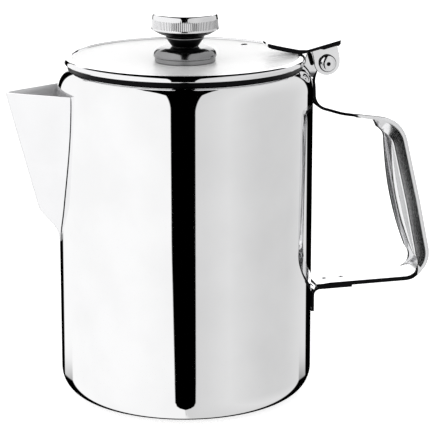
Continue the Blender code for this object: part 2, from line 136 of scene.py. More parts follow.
def steel(name, colour, low, high, wave=0.02, wave_scale=9.0, scratch=0.02, stretch=(1, 1, 1), tint=0.04,
          shade_top=None, metallic=1.0):
    """Stainless steel with a roughness between low and high.

    Polishing marks and wider patches vary the roughness and, by tint, the colour. A swell of wave mm
    bends the reflections, and the marks are scratched in.
    """
    material, tree = node_material(name)
    shader = tree.nodes["Principled BSDF"]
    shader.inputs["Metallic"].default_value = metallic
    place = tree.nodes.new("ShaderNodeTexCoord").outputs["Object"]
    stretched = tree.nodes.new("ShaderNodeMapping")
    stretched.inputs["Scale"].default_value = stretch
    tree.links.new(place, stretched.inputs["Vector"])
    marks = noise(tree, stretched.outputs["Vector"], 900.0, 4.0)
    patches = noise(tree, place, 45.0, 3.0)
    mixed = value_node(tree, "MULTIPLY", marks, patches)
    tree.links.new(remap(tree, mixed, (0.12, 0.42), (low, high)), shader.inputs["Roughness"])

    ramp = tree.nodes.new("ShaderNodeValToRGB")
    dull, bright = ramp.color_ramp.elements
    dull.position = 0.35
    dull.color = (*[c * (1 - tint) for c in colour], 1)
    bright.position = 0.65
    bright.color = (*colour, 1)
    tree.links.new(patches, ramp.inputs["Fac"])
    base = ramp.outputs["Color"]
    if shade_top:
        base = painted_gap_shade(tree, place, base, shade_top)
    tree.links.new(base, shader.inputs["Base Color"])

    wide = bump(tree, noise(tree, place, wave_scale, 1.0), 1.0, wave * MM)
    tree.links.new(bump(tree, marks, scratch, 0.02 * MM, wide), shader.inputs["Normal"])
    return material


MIRROR = steel("mirror_steel", (0.93, 0.93, 0.935), 0.012, 0.035, wave=0.05, wave_scale=11.0)
LID_STEEL = steel("lid_steel", (0.98, 0.98, 0.98), 0.36, 0.44, wave=0.0, scratch=0.03, tint=0.02,
                  metallic=0.35)
# near black: painted shade and dark reflection for cut edges, creases, knurl grooves, undersides and the
# neck
PAINTED_SHADE = steel("painted_shade_steel", (0.01, 0.01, 0.011), 0.3, 0.45, wave=0.0, scratch=0.2, tint=0.3)
# painted shade darkens the bracket below 140.6 mm, in the gap above the pot's shoulder
BRACKET_STEEL = steel("bracket_steel", (0.9, 0.9, 0.91), 0.04, 0.09, wave=0.05, wave_scale=60.0,
                      shade_top=140.6 * MM)
DUSK = steel("shaded_steel", (0.34, 0.34, 0.345), 0.1, 0.2, wave=0.0, scratch=0.15, tint=0.2)
SHEET_STEEL = steel("handle_steel", (0.92, 0.92, 0.93), 0.03, 0.07, wave=0.06, wave_scale=60.0)
TURNED = steel("turned_steel", (0.88, 0.88, 0.89), 0.06, 0.12, wave=0.0, scratch=0.05, stretch=(1, 1, 6))
INNER = steel("inner_steel", (0.6, 0.6, 0.61), 0.3, 0.42, wave=0.02, scratch=0.1)
GRIP_STEEL = steel("grip_steel", (0.92, 0.92, 0.93), 0.14, 0.22, wave=0.03, wave_scale=60.0, scratch=0.06)
SPOUT_STEEL = steel("spout_steel", (0.92, 0.92, 0.93), 0.03, 0.07, wave=0.05, wave_scale=30.0)
SPOUT_INNER = steel("spout_inner_steel", (0.85, 0.85, 0.86), 0.3, 0.42, wave=0.0, scratch=0.1,
                    metallic=0.5)


# ---------------------------------------------------------------- mesh helpers

def arc(centre, radius, start, end, steps):
    """Points on an arc from the angle start to the angle end, in degrees."""
    points = []
    for i in range(steps + 1):
        angle = math.radians(start + (end - start) * i / steps)
        points.append((centre[0] + radius * math.cos(angle), centre[1] + radius * math.sin(angle)))
    return points


def evenly(points, longest):
    """Split the runs of a profile that are longer than asked."""
    result = [points[0]]
    for a, b in zip(points, points[1:]):
        pieces = max(1, math.ceil(math.dist(a, b) / longest - 0.001))
        for i in range(pieces):
            share = (i + 1) / pieces
            result.append((a[0] + (b[0] - a[0]) * share, a[1] + (b[1] - a[1]) * share))
    return result


def new_object(name, bm, material, angle=30.0, dark=None, second=None):
    """An object from a bmesh, with edges sharp above the angle.

    Faces that dark(centre, normal) picks get the second finish, or without one the near-black painted shade
    and dark reflection.
    """
    if dark:
        bm.normal_update()
        for face in bm.faces:
            face.material_index = int(dark(face.calc_center_median(), face.normal))
    mesh = bpy.data.meshes.new(name)
    bm.to_mesh(mesh)
    bm.free()
    mesh.materials.append(material)
    # slot 1 holds the second finish, or else the near-black painted shade
    mesh.materials.append(second or PAINTED_SHADE)
    mesh.shade_smooth()
    mesh.set_sharp_from_angle(angle=math.radians(angle))
    item = bpy.data.objects.new(name, mesh)
    bpy.context.scene.collection.objects.link(item)
    return item


def lathe_mesh(profile, steps, along_y=None, ripple=None):
    """A closed (radius, height) profile turned about Z, or about the rivet line when along_y is given."""
    bm = bmesh.new()
    rings = []
    for radius, height in profile:
        if radius < 1e-7:
            rings.append([bm.verts.new((0.0, 0.0, height))])
            continue
        ring = []
        for i in range(steps):
            angle = 2 * math.pi * i / steps
            r = radius + (ripple(radius, height, i) if ripple else 0.0)
            ring.append(bm.verts.new((r * math.cos(angle), r * math.sin(angle), height)))
        rings.append(ring)
    pairs = list(zip(rings, rings[1:]))
    if len(rings[0]) > 1 or len(rings[-1]) > 1:
        pairs.append((rings[-1], rings[0]))
    for a, b in pairs:
        if len(a) == 1 and len(b) == 1:
            continue
        for i in range(steps):
            j = (i + 1) % steps
            if len(a) == 1:
                bm.faces.new((a[0], b[i], b[j]))
            elif len(b) == 1:
                bm.faces.new((a[j], a[i], b[0]))
            else:
                bm.faces.new((a[j], a[i], b[i], b[j]))
    bmesh.ops.recalc_face_normals(bm, faces=bm.faces)
    if along_y is not None:
        turn = Matrix.Rotation(math.radians(90), 4, "X")
        bm.transform(Matrix.Translation((along_y[0], 0.0, along_y[1])) @ turn)
    return bm


def prism(outline, low, high):
    """An (x, z) outline drawn out along Y from low to high."""
    bm = bmesh.new()
    near = [bm.verts.new((x, low, z)) for x, z in outline]
    far = [bm.verts.new((x, high, z)) for x, z in outline]
    bm.faces.new(near)
    bm.faces.new(list(reversed(far)))
    for i in range(len(outline)):
        j = (i + 1) % len(outline)
        bm.faces.new((near[j], near[i], far[i], far[j]))
    bmesh.ops.recalc_face_normals(bm, faces=bm.faces)
    return bm


def with_painted_shade(bm):
    """A flat piece of sheet whose cut edges and hidden side, turned to the middle, get painted shade."""
    bm.normal_update()
    for face in bm.faces:
        hidden = face.normal.y * face.calc_center_median().y < -1e-6
        face.material_index = int(abs(face.normal.y) < 0.5 or hidden)
    return bm


def joined(name, base, changes, material, bevel=0.0, angle=30.0, segments=3, dark=None, second=None):
    """A mesh with solids added to it or cut from it, and its edges rounded, as one plain mesh."""
    item = new_object(name, base, material, angle, dark, second)
    others = []
    for i, (operation, bm) in enumerate(changes):
        other = new_object(f"{name}_tool{i}", bm, material, angle)
        others.append(other)
        modifier = item.modifiers.new("cut", "BOOLEAN")
        modifier.object = other
        modifier.operation = operation
        modifier.solver = "EXACT"
    if bevel:
        rounding = item.modifiers.new("round", "BEVEL")
        rounding.width = bevel
        rounding.segments = segments
        rounding.limit_method = "ANGLE"
        rounding.angle_limit = math.radians(35)
        rounding.harden_normals = False
    graph = bpy.context.evaluated_depsgraph_get()
    final = bpy.data.meshes.new_from_object(item.evaluated_get(graph))
    item.modifiers.clear()
    item.data = final
    final.shade_smooth()
    final.set_sharp_from_angle(angle=math.radians(angle))
    for other in others:
        bpy.data.objects.remove(other)
    return item


def stand_in(item, node, body):
    """Let a piece take the place of a CAD node: it rides on that node's body."""
    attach(item, body)
    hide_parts(node)


# ---------------------------------------------------------------- pot body

def body_profile():
    """Up the inside from the middle of the base, over the lip and down the outside."""
    lip_r = 0.5 * MM
    lip_z = 146.3 * MM
    neck_foot = 9.2 * MM
    corner_x = BODY_R - CORNER_R
    shoulder_x = BODY_R - SHOULDER_R
    end = math.degrees(math.acos((NECK_R - shoulder_x) / SHOULDER_R))
    inside = [(0.0, SHEET)] + arc((corner_x, CORNER_R), CORNER_R - SHEET, -90, 0, 14)
    inside += arc((shoulder_x, WALL_TOP), SHOULDER_R - SHEET, 0, end + 4, 12)
    inside += [(NECK_R - 1.2 * SHEET, WALL_TOP + neck_foot)]
    lip = arc((NECK_R - 0.7 * SHEET, lip_z), lip_r, 180, 0, 8)
    outside = arc((shoulder_x, WALL_TOP), SHOULDER_R, end, 0, 20)
    outside += arc((corner_x, CORNER_R), CORNER_R, 0, -90, 24) + [(0.0, 0.0)]
    return evenly(inside + lip + outside, 9.0 * MM)


def strainer_holes():
    """Five rows of round holes through the wall, fewer to a row as the spout narrows."""
    bm = bmesh.new()
    hole_r = 2.2 * MM
    row_pitch = 8.0 * MM
    hole_pitch = 6.4 * MM
    middle = BODY_R - SHEET / 2
    for row in range(5):
        height = 122.0 * MM - row * row_pitch
        count = 4 - (row + 1) // 2
        for i in range(count):
            angle = math.pi + (i - (count - 1) / 2) * hole_pitch / BODY_R
            pin = bmesh.ops.create_cone(bm, cap_ends=True, segments=24, radius1=hole_r, radius2=hole_r,
                                        depth=6.0 * MM)
            turn = Vector((math.cos(angle), math.sin(angle), 0.0)).to_track_quat("Z", "Y").to_matrix()
            bmesh.ops.rotate(bm, verts=pin["verts"], matrix=turn)
            place = (middle * math.cos(angle), middle * math.sin(angle), height)
            bmesh.ops.translate(bm, verts=pin["verts"], vec=place)
    return bm


def in_neck(centre, normal):
    """The outside of the neck, painted dark for the shade of the lid's rim when the lid is shut."""
    return centre.z > 143.6 * MM and math.hypot(centre.x, centre.y) > NECK_R - SHEET


def make_body():
    body = joined("pot_wall", lathe_mesh(body_profile(), 240), [("DIFFERENCE", strainer_holes())], MIRROR,
                  dark=in_neck)
    stand_in(body, "body_shell", "pot")


make_body()


# ---------------------------------------------------------------- spout

def smooth(value):
    """0 to 1 with a soft start and end."""
    value = min(1.0, max(0.0, value))
    return value * value * (3 - 2 * value)


def spout_level(height):
    """Distance of the nose from the pot's axis, half width, and how round the nose is."""
    root = 66.0 * MM
    rise = max(0.0, (height - root) / (SPOUT_TOP - root))
    tail = BODY_R - 2.0 * MM + 2.8 * MM * smooth(rise / 0.06)
    straight = 59.4 * MM + 18.2 * MM * rise
    keel = tail + (straight - tail) * smooth((rise - 0.07) / 0.21)
    half_width = 18.6 * MM * math.sin(math.radians(90) * rise ** 0.8)
    return keel, half_width, 0.35 - 0.22 * rise


def spout_section(height, inset, side_points=22):
    """The V of the spout at a height, moved in by inset, from one wall of the pot to the other."""
    keel, half_width, roundness = spout_level(height)
    keel -= 1.15 * inset
    half_width -= 0.55 * inset
    root = BODY_R - 4.0 * MM
    points = []
    for i in range(-side_points, side_points + 1):
        along = (abs(i) / side_points) ** 1.6
        across = math.sqrt((along ** 2 + 2 * along * roundness) / (1 + 2 * roundness))
        across = math.copysign(half_width * across, i)
        points.append(Vector((-keel + (keel - root) * along, across, height)))
    return points


def spout_block(heights, inset):
    """The spout's outer shape, with a ground weld down its nose, or with an inset its dull hollow."""
    bm = bmesh.new()
    rows = [[bm.verts.new(point) for point in spout_section(height, inset)] for height in heights]
    for low, high in zip(rows, rows[1:]):
        for i in range(len(low)):
            j = (i + 1) % len(low)
            bm.faces.new((low[j], low[i], high[i], high[j]))
    bm.faces.new(rows[0])
    bm.faces.new(list(reversed(rows[-1])))
    for face in bm.faces:
        middle = face.calc_center_median()
        on_nose = abs(middle.y) < 1.1 * MM and middle.x < -BODY_R - 0.5 * MM
        face.material_index = int(inset > 0.0 or (on_nose and len(face.verts) == 4))
    return bm


def make_spout():
    lowest = 67.5 * MM
    levels = 44
    heights = [lowest + (SPOUT_TOP - lowest) * (i / levels) ** 1.2 for i in range(levels + 1)]
    inner = heights[6:-1] + [SPOUT_TOP + 1.0 * MM]
    wall_height = 0.2
    wall = BODY_R + GAP
    trim = bmesh.new()
    bmesh.ops.create_cone(trim, cap_ends=True, segments=360, radius1=wall, radius2=wall, depth=wall_height)
    bmesh.ops.translate(trim, verts=trim.verts, vec=(0.0, 0.0, wall_height / 2))
    item = joined("spout_sheet", spout_block(heights, 0.0),
                  [("DIFFERENCE", spout_block(inner, SHEET)), ("DIFFERENCE", trim)], SPOUT_STEEL,
                  bevel=0.2 * MM, angle=40.0, second=SPOUT_INNER)
    stand_in(item, "spout", "pot")


make_spout()


# ---------------------------------------------------------------- lid and knob

def lid_profile():
    """Underside outwards from the screw's hole, round the rolled rim and back over the top."""
    under = [(SCREW_HOLE_R, LID_Z - LID_SHEET), (LID_FLAT_R, LID_Z - LID_SHEET),
             (LID_EDGE_R + 1.3 * MM, LID_EDGE_Z - 0.7 * MM), (LID_EDGE_R + 1.4 * MM, 146.9 * MM)]
    bead = [(50.85 * MM, 146.15 * MM), (51.0 * MM, 146.0 * MM), (51.4 * MM, 146.0 * MM),
            (51.65 * MM, 146.15 * MM), (51.8 * MM, 146.4 * MM)]
    bead += arc((49.9 * MM, 146.6 * MM), 1.9 * MM, 0, 55, 14)[1:]
    bead += arc((49.2 * MM, 145.6 * MM), 3.1 * MM, 55, 90, 14)[1:]
    bead += [(49.0 * MM, 148.69 * MM), (48.85 * MM, 148.6 * MM), (48.75 * MM, 148.45 * MM)]
    top = [(48.6 * MM, LID_EDGE_Z + 0.02 * MM), (48.5 * MM, LID_EDGE_Z - 0.05 * MM),
           (LID_FLAT_R + 1.0 * MM, LID_Z + 0.05 * MM), (LID_FLAT_R, LID_Z), (SCREW_HOLE_R, LID_Z)]
    return evenly(under + bead + top, 6.0 * MM)


def vent_pin():
    """A pin that cuts the steam vent, on the far side of the lid near the hinge."""
    bm = bmesh.new()
    vent_r = 1.5 * MM
    from_axis = 42.8 * MM
    angle = math.radians(41)
    bmesh.ops.create_cone(bm, cap_ends=True, segments=32, radius1=vent_r, radius2=vent_r, depth=6.0 * MM)
    bmesh.ops.translate(bm, verts=bm.verts,
                        vec=(from_axis * math.cos(angle), from_axis * math.sin(angle), LID_EDGE_Z))
    return bm


def make_lid():
    def on_top(centre, normal):
        return math.hypot(centre.x, centre.y) < 48.5 * MM and normal.z > 0.9

    disc = joined("lid_plate", lathe_mesh(lid_profile(), 240), [("DIFFERENCE", vent_pin())], SHEET_STEEL,
                  angle=28.0, dark=on_top, second=LID_STEEL)
    stand_in(disc, "lid_disc", "lid")
    inner = 47.4 * MM
    outer = 48.1 * MM
    slope = (LID_EDGE_Z - LID_Z) / (LID_EDGE_R - LID_FLAT_R)
    top = LID_Z + slope * (inner - LID_FLAT_R) - LID_SHEET - GAP
    half_sheet = (outer - inner) / 2
    ring = [(inner, top), (outer, top), (outer, 141.9 * MM)]
    ring += arc((inner + half_sheet, 141.85 * MM), half_sheet, 0, -180, 8)
    skirt = joined("lid_ring", lathe_mesh(ring, 200), [], INNER)
    stand_in(skirt, "lid_skirt", "lid")


make_lid()


KNOB_TOP = 152.6 * MM               # top of the dome, where the neck starts
LEDGE_Z = 156.9 * MM                # top of the neck's wide part, under the head
BORE_TOP = 159.3 * MM               # end of the screw's hole in the neck
KNURL_HIGH = 164.6 * MM
KNURL_LOW = 161.0 * MM
KNURL_STEPS = 432                   # four to a groove
HEAD_R = 14.45 * MM


def make_dome():
    foot = LID_Z + GAP
    lip = 148.7 * MM
    crown_r = 9.0 * MM
    edge_r = 13.1 * MM
    bulge = 4.6 * MM
    crown = arc((crown_r, lip), bulge, 90, 4, 16)
    crown = [(x, lip + (z - lip) * (KNOB_TOP - lip) / bulge) for x, z in crown]
    edge = arc((edge_r + 0.2 * MM, lip), 0.3 * MM, 0, -80, 5)
    dish = [(SCREW_HOLE_R, KNOB_TOP - SHEET), (SCREW_HOLE_R, KNOB_TOP)] + crown + edge
    dish += [(edge_r, lip - 0.6 * MM), (edge_r, foot), (edge_r - SHEET, foot), (edge_r - SHEET, lip)]
    dish += [(crown_r, KNOB_TOP - SHEET)]
    dome = joined("knob_dome", lathe_mesh(dish, 160), [], DUSK, angle=35.0)
    stand_in(dome, "knob_base", "lid")


def make_neck():
    spigot_r = 4.0 * MM
    spigot_top = 160.9 * MM
    stem = [(0.0, spigot_top), (spigot_r, spigot_top), (spigot_r, LEDGE_Z), (8.15 * MM, LEDGE_Z),
            (8.3 * MM, LEDGE_Z - 0.15 * MM), (8.3 * MM, LEDGE_Z - 0.4 * MM), (5.8 * MM, KNOB_TOP + GAP),
            (SCREW_HOLE_R, KNOB_TOP + GAP), (SCREW_HOLE_R, BORE_TOP), (0.0, BORE_TOP)]
    # faces turned downwards get painted shade
    neck = joined("knob_neck", lathe_mesh(stem, 120), [], DUSK, angle=35.0,
                  dark=lambda centre, normal: normal.z < -0.1)
    stand_in(neck, "knob_stem", "lid")


def make_head():
    top = 167.0 * MM
    under = LEDGE_Z + GAP
    slack = 0.01 * MM
    cap = [(0.0, top), (12.6 * MM, top)]
    cap += arc((12.8 * MM, top - 1.2 * MM), 1.2 * MM, 90, 4, 14) + [(14.1 * MM, 164.9 * MM)]
    rows = 12
    flare = 0.25 * MM
    cap += [(HEAD_R - flare * (1 - i / rows), KNURL_HIGH + (KNURL_LOW - KNURL_HIGH) * i / rows)
            for i in range(rows + 1)]
    cap += [(HEAD_R, KNURL_LOW - 0.2 * MM)] + arc((14.0 * MM, 160.5 * MM), 0.5 * MM, 10, -70, 5)
    cap += [(11.2 * MM, 158.3 * MM), (8.0 * MM, under), (4.3 * MM, under), (4.3 * MM, 161.2 * MM),
            (0.0, 161.2 * MM)]

    def knurl(radius, height, i):
        if radius < 14.1 * MM or not KNURL_LOW - slack <= height <= KNURL_HIGH + slack:
            return 0.0
        return -0.11 * MM * (0.0, 0.7, 1.0, 0.7)[i % 4]

    # painted shade in every fourth knurl step and under the head
    def groove_or_under(centre, normal):
        turn = math.atan2(centre.y, centre.x) % (2 * math.pi)
        in_groove = int(turn / (2 * math.pi) * KNURL_STEPS) % 4 == 2
        return centre.z < 160.2 * MM or (KNURL_LOW < centre.z < KNURL_HIGH and in_groove)

    head = joined("knob_head", lathe_mesh(cap, KNURL_STEPS, ripple=knurl), [], TURNED, angle=40.0,
                  dark=groove_or_under)
    stand_in(head, "knob_cap", "lid")


def make_screw():
    """The washer under the lid, and the slotted screw through it into the neck."""
    washer_top = LID_Z - LID_SHEET - GAP
    washer_low = washer_top - 0.7 * MM
    outer = 5.5 * MM
    edge = 0.2 * MM
    ring = [(SCREW_HOLE_R, washer_low), (SCREW_HOLE_R, washer_top), (outer - edge, washer_top),
            (outer, washer_top - edge), (outer, washer_low + edge), (outer - edge, washer_low)]
    washer = joined("knob_seat_ring", lathe_mesh(ring, 96), [], INNER)
    stand_in(washer, "knob_washer", "lid")

    shank_r = 2.0 * MM
    head_r = 4.0 * MM
    round_r = 1.1 * MM
    head_top = washer_low - GAP
    head_low = head_top - 2.2 * MM
    screw = [(0.0, BORE_TOP - GAP), (shank_r - GAP, BORE_TOP - GAP), (shank_r, BORE_TOP - 2 * GAP),
             (shank_r, head_top), (head_r - 0.1 * MM, head_top), (head_r, head_top - 0.2 * MM)]
    screw += arc((head_r - round_r, head_low + round_r), round_r, 0, -90, 8) + [(0.0, head_low)]
    slot_x = 5.0 * MM
    slot_low = head_low - 1.0 * MM
    slot_top = head_low + 0.8 * MM
    slot = prism([(-slot_x, slot_low), (slot_x, slot_low), (slot_x, slot_top), (-slot_x, slot_top)],
                 -0.5 * MM, 0.5 * MM)
    bolt = joined("knob_bolt", lathe_mesh(screw, 64), [("DIFFERENCE", slot)], INNER)
    stand_in(bolt, "knob_screw", "lid")


make_dome()
make_neck()
make_head()
make_screw()


# ---------------------------------------------------------------- hinge

# top of the leaf: its tip over the lid, the part that lies on the lid, the bend, and the thumb tab
LEAF_TIP = [(35.1 * MM, 153.3 * MM), (35.8 * MM, 153.2 * MM), (38.0 * MM, 152.6 * MM)]
LEAF_ON_LID = [(42.7 * MM, 151.5 * MM), (49.0 * MM, 150.15 * MM)]
LEAF_BEND = [(52.6 * MM, 150.0 * MM), (54.0 * MM, 150.35 * MM)]
LEAF_END = (67.5 * MM, 153.8 * MM)


def pin_hole():
    return prism(arc((PIN_X, PIN_Z), PIN_HOLE_R, 0, 352.5, 47), -0.01, 0.01)


def leaf_outline():
    """The leaf from the side; it is thinner at its bend, where it passes over the bracket."""
    outline = [(67.4 * MM, 152.1 * MM), (66.6 * MM, 151.2 * MM), (65.6 * MM, 151.3 * MM)]
    outline += [(60.0 * MM, 149.9 * MM), (58.5 * MM, 150.15 * MM)]
    outline += [(x, z - 1.35 * MM) for x, z in reversed(LEAF_BEND)]
    outline += [(x, z - 2.0 * MM) for x, z in reversed(LEAF_ON_LID)]
    outline += [(37.0 * MM, 150.9 * MM), (35.5 * MM, 151.5 * MM), (34.9 * MM, 152.3 * MM)]
    return outline + LEAF_TIP + LEAF_ON_LID + LEAF_BEND + [LEAF_END]


def make_leaf():
    inner = 4.95 * MM
    outer = 5.85 * MM
    half_width = 6.0 * MM
    ear = [(54.6 * MM, 149.9 * MM), (55.4 * MM, 147.0 * MM)]
    ear += arc((61.5 * MM, 144.3 * MM), 5.6 * MM, 184, 360, 40)
    ear += [(67.05 * MM, 146.0 * MM), (66.8 * MM, 147.6 * MM), (65.6 * MM, 152.6 * MM)]
    # the ears' cut edges and inner sides get painted shade
    changes = [("UNION", with_painted_shade(prism(ear, -outer, -inner))), ("UNION", with_painted_shade(prism(ear, inner, outer))),
               ("DIFFERENCE", pin_hole())]
    # the leaf's two flat sides, its cut edges, get painted shade
    leaf = joined("thumb_leaf", prism(leaf_outline(), -half_width, half_width), changes, SHEET_STEEL,
                  bevel=0.08 * MM, angle=40.0, dark=lambda centre, normal: abs(normal.y) > 0.9)
    stand_in(leaf, "lid_leaf", "lid")


def make_bracket():
    """A channel that sits on the shoulder, with a slot through its two cheeks."""
    pin = (PIN_X, PIN_Z)
    shoulder = (BODY_R - SHOULDER_R, WALL_TOP)
    seat = arc(shoulder, SHOULDER_R + GAP, 57.5, 16, 16)
    back = arc(shoulder, SHOULDER_R + GAP + SHEET, 16, 57.5, 16)
    cheek = [(55.4 * MM, 137.9 * MM), (57.2 * MM, 140.9 * MM)]
    cheek += arc(pin, 4.4 * MM, 222, 420, 40) + [(57.0 * MM, 149.6 * MM)]
    cheek += arc(pin, 9.6 * MM, 149.5, 169, 10) + [(50.6 * MM, 145.4 * MM)] + seat
    slot = arc((53.9 * MM, 147.7 * MM), 1.0 * MM, 15, 195, 12)
    slot += arc((55.0 * MM, 143.9 * MM), 0.9 * MM, 195, 375, 12)
    inner = 3.7 * MM
    outer = 4.7 * MM
    # the cheeks' cut edges, inner sides and the slot's walls get painted shade
    changes = [("UNION", with_painted_shade(prism(cheek, -outer, -inner))),
               ("UNION", with_painted_shade(prism(cheek, inner, outer))),
               ("DIFFERENCE", pin_hole()), ("DIFFERENCE", with_painted_shade(prism(slot, -0.01, 0.01)))]
    bracket = joined("hinge_channel", prism(seat + back, -4.2 * MM, 4.2 * MM), changes, BRACKET_STEEL,
                     bevel=0.15 * MM, angle=40.0)
    stand_in(bracket, "hinge_bracket", "pot")


def make_rivet():
    """Rivet and collar, turned about Z and then laid along the hinge, the head towards -Y."""
    crown = RIVET_SEAT + 1.9 * MM
    far_seat = -RIVET_SEAT
    shank_r = 2.0 * MM
    head = [(0.0, crown - 0.55 * MM), (0.35 * MM, crown - 0.5 * MM), (0.7 * MM, crown - 0.05 * MM),
            (0.9 * MM, crown)]
    head += [(1.6 * MM, crown - 0.02 * MM), (2.3 * MM, crown - 0.15 * MM), (2.9 * MM, crown - 0.4 * MM),
             (3.4 * MM, crown - 0.8 * MM), (3.7 * MM, crown - 1.25 * MM), (RIVET_HEAD_R, crown - 1.6 * MM),
             (RIVET_HEAD_R, RIVET_SEAT)]
    shank = [(shank_r, RIVET_SEAT), (shank_r, -7.7 * MM), (1.7 * MM, -7.9 * MM), (0.0, -7.9 * MM)]

    # painted shade in the rivet's dimple and on the sides of its head
    def hollow_or_side(centre, normal):
        off = math.hypot(centre.x - PIN_X, centre.z - PIN_Z)
        return off < 0.8 * MM or abs(normal.y) < 0.6

    rivet = joined("rivet_pin", lathe_mesh(head + shank, 96, (PIN_X, PIN_Z)), [], TURNED, angle=35.0,
                   dark=hollow_or_side)
    stand_in(rivet, "hinge_rivet", "pot")
    collar = [(PIN_HOLE_R, far_seat), (3.6 * MM, far_seat), (RIVET_HEAD_R, far_seat - 0.2 * MM),
              (RIVET_HEAD_R, -7.0 * MM), (3.6 * MM, -7.5 * MM), (3.2 * MM, -7.9 * MM),
              (PIN_HOLE_R, -8.1 * MM)]
    ring = joined("rivet_collar", lathe_mesh(collar, 96, (PIN_X, PIN_Z)), [], TURNED, angle=35.0)
    stand_in(ring, "hinge_collar", "pot")


make_leaf()
make_bracket()
make_rivet()


# ---------------------------------------------------------------- handle

def rounded_path(corners, step_angle):
    """A path through (x, z, radius) corners, each rounded to its radius; the ends have none."""
    points = [Vector(corners[0][:2])]
    for before, corner, after in zip(corners, corners[1:], corners[2:]):
        here = Vector(corner[:2])
        back = (Vector(before[:2]) - here).normalized()
        ahead = (Vector(after[:2]) - here).normalized()
        half = back.angle(ahead) / 2
        centre = here + (back + ahead).normalized() * (corner[2] / math.sin(half))
        trim = corner[2] / math.tan(half)
        start = here + back * trim - centre
        end = here + ahead * trim - centre
        turn = start.angle_signed(end)
        steps = max(4, round(abs(math.degrees(turn)) / step_angle))
        first = math.atan2(start.y, start.x)
        for i in range(steps + 1):
            angle = first - turn * i / steps
            points.append(centre + corner[2] * Vector((math.cos(angle), math.sin(angle))))
    points.append(Vector(corners[-1][:2]))
    return points


def split_long(points, longest):
    """The path with points added, so that no step is longer than longest."""
    result = [points[0]]
    for a, b in zip(points, points[1:]):
        pieces = max(1, math.ceil((b - a).length / longest - 0.001))
        result += [a.lerp(b, (i + 1) / pieces) for i in range(pieces)]
    return result


def strap_path():
    """Middle of the strap: round the rivet, down the wall, and round the handle to the foot."""
    pin = Vector((PIN_X, PIN_Z))
    curl = [pin + Vector(p) for p in arc((0.0, 0.0), 2.95 * MM, -155, 163, 54)]
    x = 56.0 * MM
    corners = [(*curl[-1], 0.0), (x, 135.4 * MM, 4.0 * MM), (x + 0.4 * MM, 124.9 * MM, 6.5 * MM),
               (68.0 * MM, 121.6 * MM, 16.0 * MM), (95.3 * MM, 117.6 * MM, 14.0 * MM),
               (103.8 * MM, 81.3 * MM, 60.0 * MM), (111.1 * MM, 45.9 * MM, 11.0 * MM),
               (57.4 * MM, ARM_Z, 0.0)]
    return curl[:-1] + split_long(rounded_path(corners, 3.0), 1.6 * MM)


def strap_shape(point, tangent):
    """Half width of the flat web, length and fold angle of the side, and length of its lip.

    The strap is flat and narrow at the hinge, widens along the upper arm, is folded on the grip, with
    sides that lean out further where it leans further, and is flat again on the lower arm.
    """
    x, z = point
    upper = z > 80.0 * MM
    if upper and x < 75.0 * MM:
        half = 4.9 * MM - 2.4 * MM * smooth((z - 134.0 * MM) / (3.5 * MM))
        if z < 126.0 * MM:
            half += 2.9 * MM * smooth((x - 57.0 * MM) / (18.0 * MM))
        return half * 0.7, half * 0.3, 0.0, 0.0
    web = 6.6 * MM
    if upper:
        started = smooth((x - 83.0 * MM) / (7.0 * MM))
    else:
        started = smooth((z - 43.5 * MM) / (14.0 * MM)) * smooth((x - 96.0 * MM) / (8.0 * MM))
    down = min(1.0, max(0.0, (113.0 * MM - z) / (60.0 * MM)))
    side = 1.2 * MM + 5.3 * MM * started
    lean = min(36.0, math.degrees(math.atan(0.24 / max(0.05, abs(tangent.y)))))
    share = smooth(2.5 * started)
    if upper:
        share = max(share, 0.8 * smooth((x - 70.0 * MM) / (9.0 * MM)))
    return web, side, (90.0 + lean) * share, 5.0 * MM * math.sin(math.pi * down) * started


def strap_section(web, side, fold, lip):
    """(across, inwards) points of half the strap: flat web, folded side, and lip beyond a crease."""
    points = [(0.0, 0.0), (web * 0.35, 0.0), (web * 0.7, 0.0), (web, 0.0)]
    across, inwards = web, 0.0
    fold_length = min(1.9 * MM, side)
    side_runs = 20
    lip_runs = 14
    runs = []
    for i in range(side_runs):
        done = (i + 0.5) / side_runs * side
        slack = 6.0 * max(0.0, done / side - 0.4) * min(1.0, side / (6.5 * MM))
        runs.append((side / side_runs, smooth(done / fold_length) * fold - slack))
    reach = max(lip, 0.1 * MM)
    bend = min(1.0, lip / MM)
    for i in range(lip_runs):
        done = (i + 0.5) / lip_runs
        runs.append((reach / lip_runs, fold + bend * (40.0 - 46.0 * done ** 1.6)))
    for length, angle in runs:
        across += math.cos(math.radians(angle)) * length
        inwards += math.sin(math.radians(angle)) * length
        points.append((across, inwards))
    return points


def sheet_mesh(path, section_at):
    """An open sheet along a path in the XZ plane, with a mirrored half section at each point."""
    bm = bmesh.new()
    rows = []
    for i, point in enumerate(path):
        tangent = (path[min(i + 1, len(path) - 1)] - path[max(i - 1, 0)]).normalized()
        inward = Vector((tangent.y, -tangent.x))
        half = section_at(point, tangent)
        line = [(-across, depth) for across, depth in reversed(half[1:])] + half
        rows.append([bm.verts.new((point.x + inward.x * depth, across, point.y + inward.y * depth))
                     for across, depth in line])
    for a, b in zip(rows, rows[1:]):
        for i in range(len(a) - 1):
            bm.faces.new((a[i], a[i + 1], b[i + 1], b[i]))
    return bm


def foot_thickness(place):
    return VISIBLE_SHEET


def strap_thickness(place):
    """The strap's cut edge looks heavier along its straight lower arm."""
    on_arm = smooth((50.0 * MM - place.z) / (4.0 * MM)) * smooth((place.x - 60.0 * MM) / (4.0 * MM))
    return VISIBLE_SHEET + (LOW_ARM_SHEET - VISIBLE_SHEET) * on_arm


